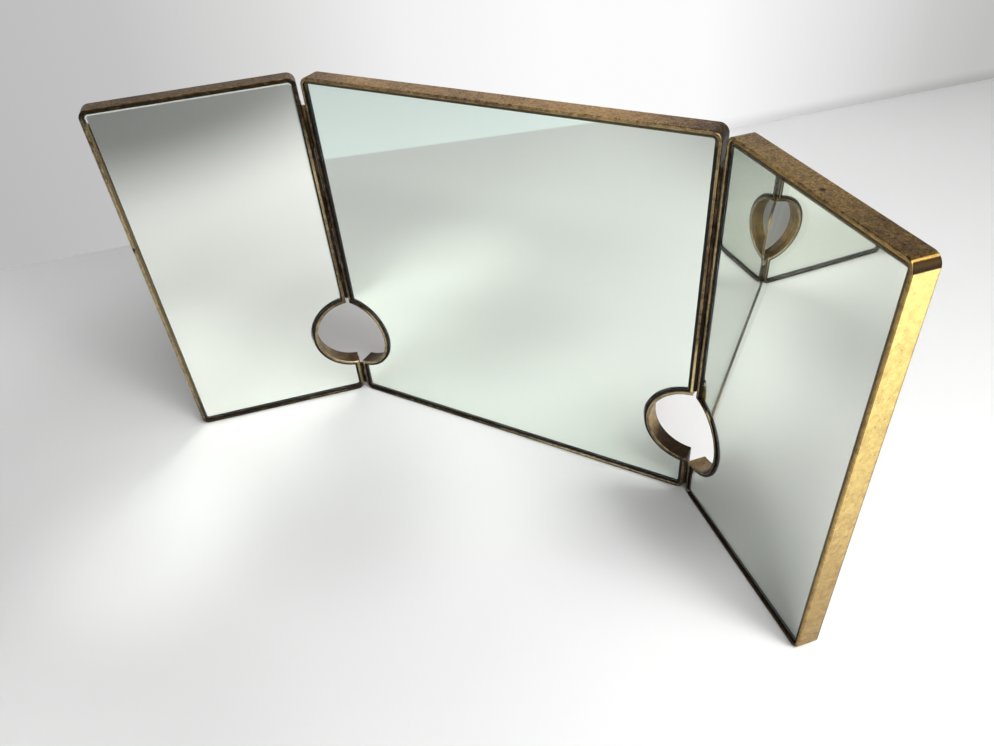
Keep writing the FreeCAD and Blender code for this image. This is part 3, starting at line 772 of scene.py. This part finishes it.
def make_floor_paint():
    """White table top, a little warmer and greyer by place, with painted shade to the left and in
    patches, darker far out in the reflections.
    """
    finish = Finish("white_table_top")
    place = finish.place()
    across, along, _ = finish.axes(place)
    mottle = finish.noise(place, 2.2, 3.0, 0.5)
    tone = finish.blend((mottle * 0.6).clipped(), (0.91, 0.91, 0.905), (0.87, 0.872, 0.872))
    # Painted shade on the table to the left, kept off the spot where the left mirror throws its light.
    leftward = finish.between(-(across + along * 0.35), 0.02, 0.24)
    leftward = leftward * (1.0 - finish.between(-across, 0.40, 0.60))
    leftward = leftward * finish.between(along, -0.38, -0.26)
    bright_spot = finish.distance(place, (-0.215, -0.195, 0.0))
    leftward = leftward * finish.between(bright_spot, 0.03, 0.13)
    tone = finish.blend(leftward * 0.12, tone, BLACK)
    # Painted shade at the foot of the right hinge line, and a little in front of the mirror.
    for middle, near, wide, depth in SHADE_PATCHES:
        grey = 1.0 - finish.between(finish.distance(place, middle), near, wide)
        tone = finish.blend(grey * depth, tone, BLACK)
    # Beyond its front left edge the table gives way to a pale green-blue floor.
    outward = across * EDGE_WAY[0] + along * EDGE_WAY[1]
    beyond = finish.between(outward - EDGE_FAR, -0.004, 0.004)
    # Far out in front to the right it falls into shade, and a little at the right wing's foot.
    # Only the mirrors see that.
    seen = seen_rays(finish, False)
    tone = finish.blend(beyond * seen, tone, (0.80, 0.90, 0.88))
    for middle, near, wide, depth in MIRROR_SHADES:
        shade = (1.0 - finish.between(finish.distance(place, middle), near, wide)) * seen * depth
        tone = finish.blend(shade, tone, BLACK)
    glow = finish.blend(beyond * seen, BLACK, (0.24, 0.235, 0.26))
    paint = finish.add("ShaderNodeBsdfPrincipled", {}, {
        "Base Color": tone, "Roughness": 0.62, "Specular IOR Level": 0.2, "Emission Color": glow,
        "Emission Strength": 1.0})
    # A long way off it is seen evenly lit, and goes on into the air.
    even = finish.add("ShaderNodeEmission", {}, {"Color": colour(FAR_TONE), "Strength": 1.0})
    off = finish.distance(place, BLACK)
    share = finish.between(off, 1.25, 2.6) * seen_rays(finish, True, True)
    return finish.close(finish.add("ShaderNodeMixShader", {}, {0: share, 1: paint, 2: even}))


def make_wall_paint():
    """Pale wall with a painted pool of light: white behind the mirror and greyer to both sides, and
    painted shade along its foot. Camera and mirrors see it evenly lit, and it gives the object only
    the light that a pale wall would."""
    finish = Finish("pale_wall")
    across, along, up = finish.axes(finish.place())
    run_x, run_y = math.cos(WALL_TURN), math.sin(WALL_TURN)
    middle = WALL_HOME[0] * run_x + WALL_HOME[1] * run_y
    way = (across * run_x + along * run_y - middle) / WALL_STRETCH + 0.5
    # The greys are a painted pool of light, brightest behind the mirror.
    tone = finish.ramp(way.clipped(), (
        (0.00, (0.50, 0.50, 0.50)), (0.13, (0.55, 0.55, 0.55)), (0.24, (0.69, 0.69, 0.685)),
        (0.36, (0.89, 0.89, 0.89)), (0.50, (0.98, 0.98, 0.98)), (0.66, (0.98, 0.98, 0.98)),
        (0.83, (0.75, 0.75, 0.75)), (0.93, (0.59, 0.59, 0.585)), (1.00, (0.53, 0.53, 0.52))))
    # Painted shade along the foot, where the wall meets the table.
    foot = 1.0 - finish.between(up, 0.0, 0.022)
    tone = finish.blend(foot * finish.between(way, 0.55, 0.80) * 0.24, tone, BLACK)
    paint = finish.add("ShaderNodeBsdfDiffuse", {}, {"Color": tone, "Roughness": 0.0})
    even = finish.add("ShaderNodeEmission", {}, {"Color": tone, "Strength": 1.0})
    share = seen_rays(finish, True)
    wall = finish.add("ShaderNodeMixShader", {}, {0: share, 1: paint, 2: even})
    # It has one side only, so that it hides nothing from behind.
    clear = finish.add("ShaderNodeBsdfTransparent")
    behind = finish.add("ShaderNodeNewGeometry", output="Backfacing")
    return finish.close(finish.add("ShaderNodeMixShader", {}, {0: behind, 1: wall, 2: clear}))


def make_sheet(name, half_width, half_height, turn, home, finish):
    """A flat piece of the studio."""
    shape = bmesh.new()
    bmesh.ops.create_grid(shape, x_segments=1, y_segments=1, size=1.0)
    bmesh.ops.transform(shape, matrix=Matrix.Diagonal((half_width, half_height, 1.0, 1.0)),
                        verts=shape.verts)
    bmesh.ops.transform(shape, matrix=turn, verts=shape.verts)
    bmesh.ops.translate(shape, vec=home, verts=shape.verts)
    mesh = bpy.data.meshes.new(name)
    shape.to_mesh(mesh)
    shape.free()
    mesh.materials.append(finish)
    piece = bpy.data.objects.new(name, mesh)
    bpy.context.scene.collection.objects.link(piece)


make_sheet("table_top", 6.0, 6.0, Matrix.Identity(4), (0.0, 0.0, -0.0002), make_floor_paint())
stand_up = Matrix.Rotation(WALL_TURN, 4, "Z") @ Matrix.Rotation(math.radians(90.0), 4, "X")
make_sheet("back_wall", 6.0, 2.0, stand_up, WALL_HOME, make_wall_paint())


def hang_lamp(name, home, aim, side, power, spread=180.0):
    """A soft flat lamp, turned to its aim. Its side is in metres, its power in watts and its
    spread in degrees."""
    lamp = bpy.data.lights.new(name, "AREA")
    lamp.size = side
    lamp.energy = power
    lamp.spread = math.radians(spread)
    holder = bpy.data.objects.new(name, lamp)
    bpy.context.scene.collection.objects.link(holder)
    holder.location = home
    holder.rotation_euler = (Vector(aim) - Vector(home)).to_track_quat("-Z", "Y").to_euler()


LOW_ON_MIRROR = (0.0, 0.0, 0.05)
hang_lamp("low_window", (0.90, -0.20, 0.55), LOW_ON_MIRROR, 0.3, 4.4)
hang_lamp("side_window", (1.50, 0.10, 0.70), LOW_ON_MIRROR, 0.5, 1.4)
hang_lamp("near_window", (0.50, -0.35, 1.00), LOW_ON_MIRROR, 0.5, 2.25)
hang_lamp("high_window", (1.20, -0.40, 2.00), LOW_ON_MIRROR, 1.4, 26.0)
hang_lamp("left_window", (-0.88, -0.15, 0.30), (-0.64, 0.02, 0.0), 0.2, 0.35)
hang_lamp("front_window", (0.05, -0.50, 0.80), (-0.01, 0.0, 0.0), 0.15, 0.011, 16.0)


def make_air():
    """Soft air: a little from everywhere, more from the left. Where it is seen it is pale."""
    finish = Finish("studio_air", bpy.data.worlds)
    way = finish.add("ShaderNodeTexCoord")
    leftward = finish.add("ShaderNodeVectorMath", {"operation": "DOT_PRODUCT"},
                          {0: way, 1: (-1.0, 0.0, 0.0)}, "Value")
    light = leftward.clipped() * 0.69 + 0.05
    seen = seen_rays(finish, True, True)
    strength = lay(light, seen, 1.0)
    shade = finish.blend(seen, (0.96, 0.98, 1.0), FAR_TONE)
    air = finish.add("ShaderNodeBackground", {}, {"Color": shade, "Strength": strength})
    return finish.close(air, "ShaderNodeOutputWorld")


bpy.context.scene.world = make_air()


# ---------------------------------------------------------------- camera

CAMERA_HOME = (0.26172, -0.39559, 0.48785)
CAMERA_RIGHT = Vector((0.87846, 0.47292, -0.06824))
CAMERA_UP = Vector((-0.25311, 0.58171, 0.77301))

camera = bpy.data.cameras.new("camera")
camera.sensor_width = 36.0
camera.lens = 28.564
camera.clip_start = 0.01
camera.clip_end = 50.0
holder = bpy.data.objects.new("camera", camera)
bpy.context.scene.collection.objects.link(holder)
turn = Matrix((CAMERA_RIGHT, CAMERA_UP, CAMERA_RIGHT.cross(CAMERA_UP))).transposed()
holder.matrix_world = Matrix.Translation(CAMERA_HOME) @ turn.to_4x4()
bpy.context.scene.camera = holder
bpy.context.scene.view_settings.view_transform = "Standard"
# The light that the mirrors throw on the table keeps its shape.
bpy.context.scene.cycles.blur_glossy = 0.0
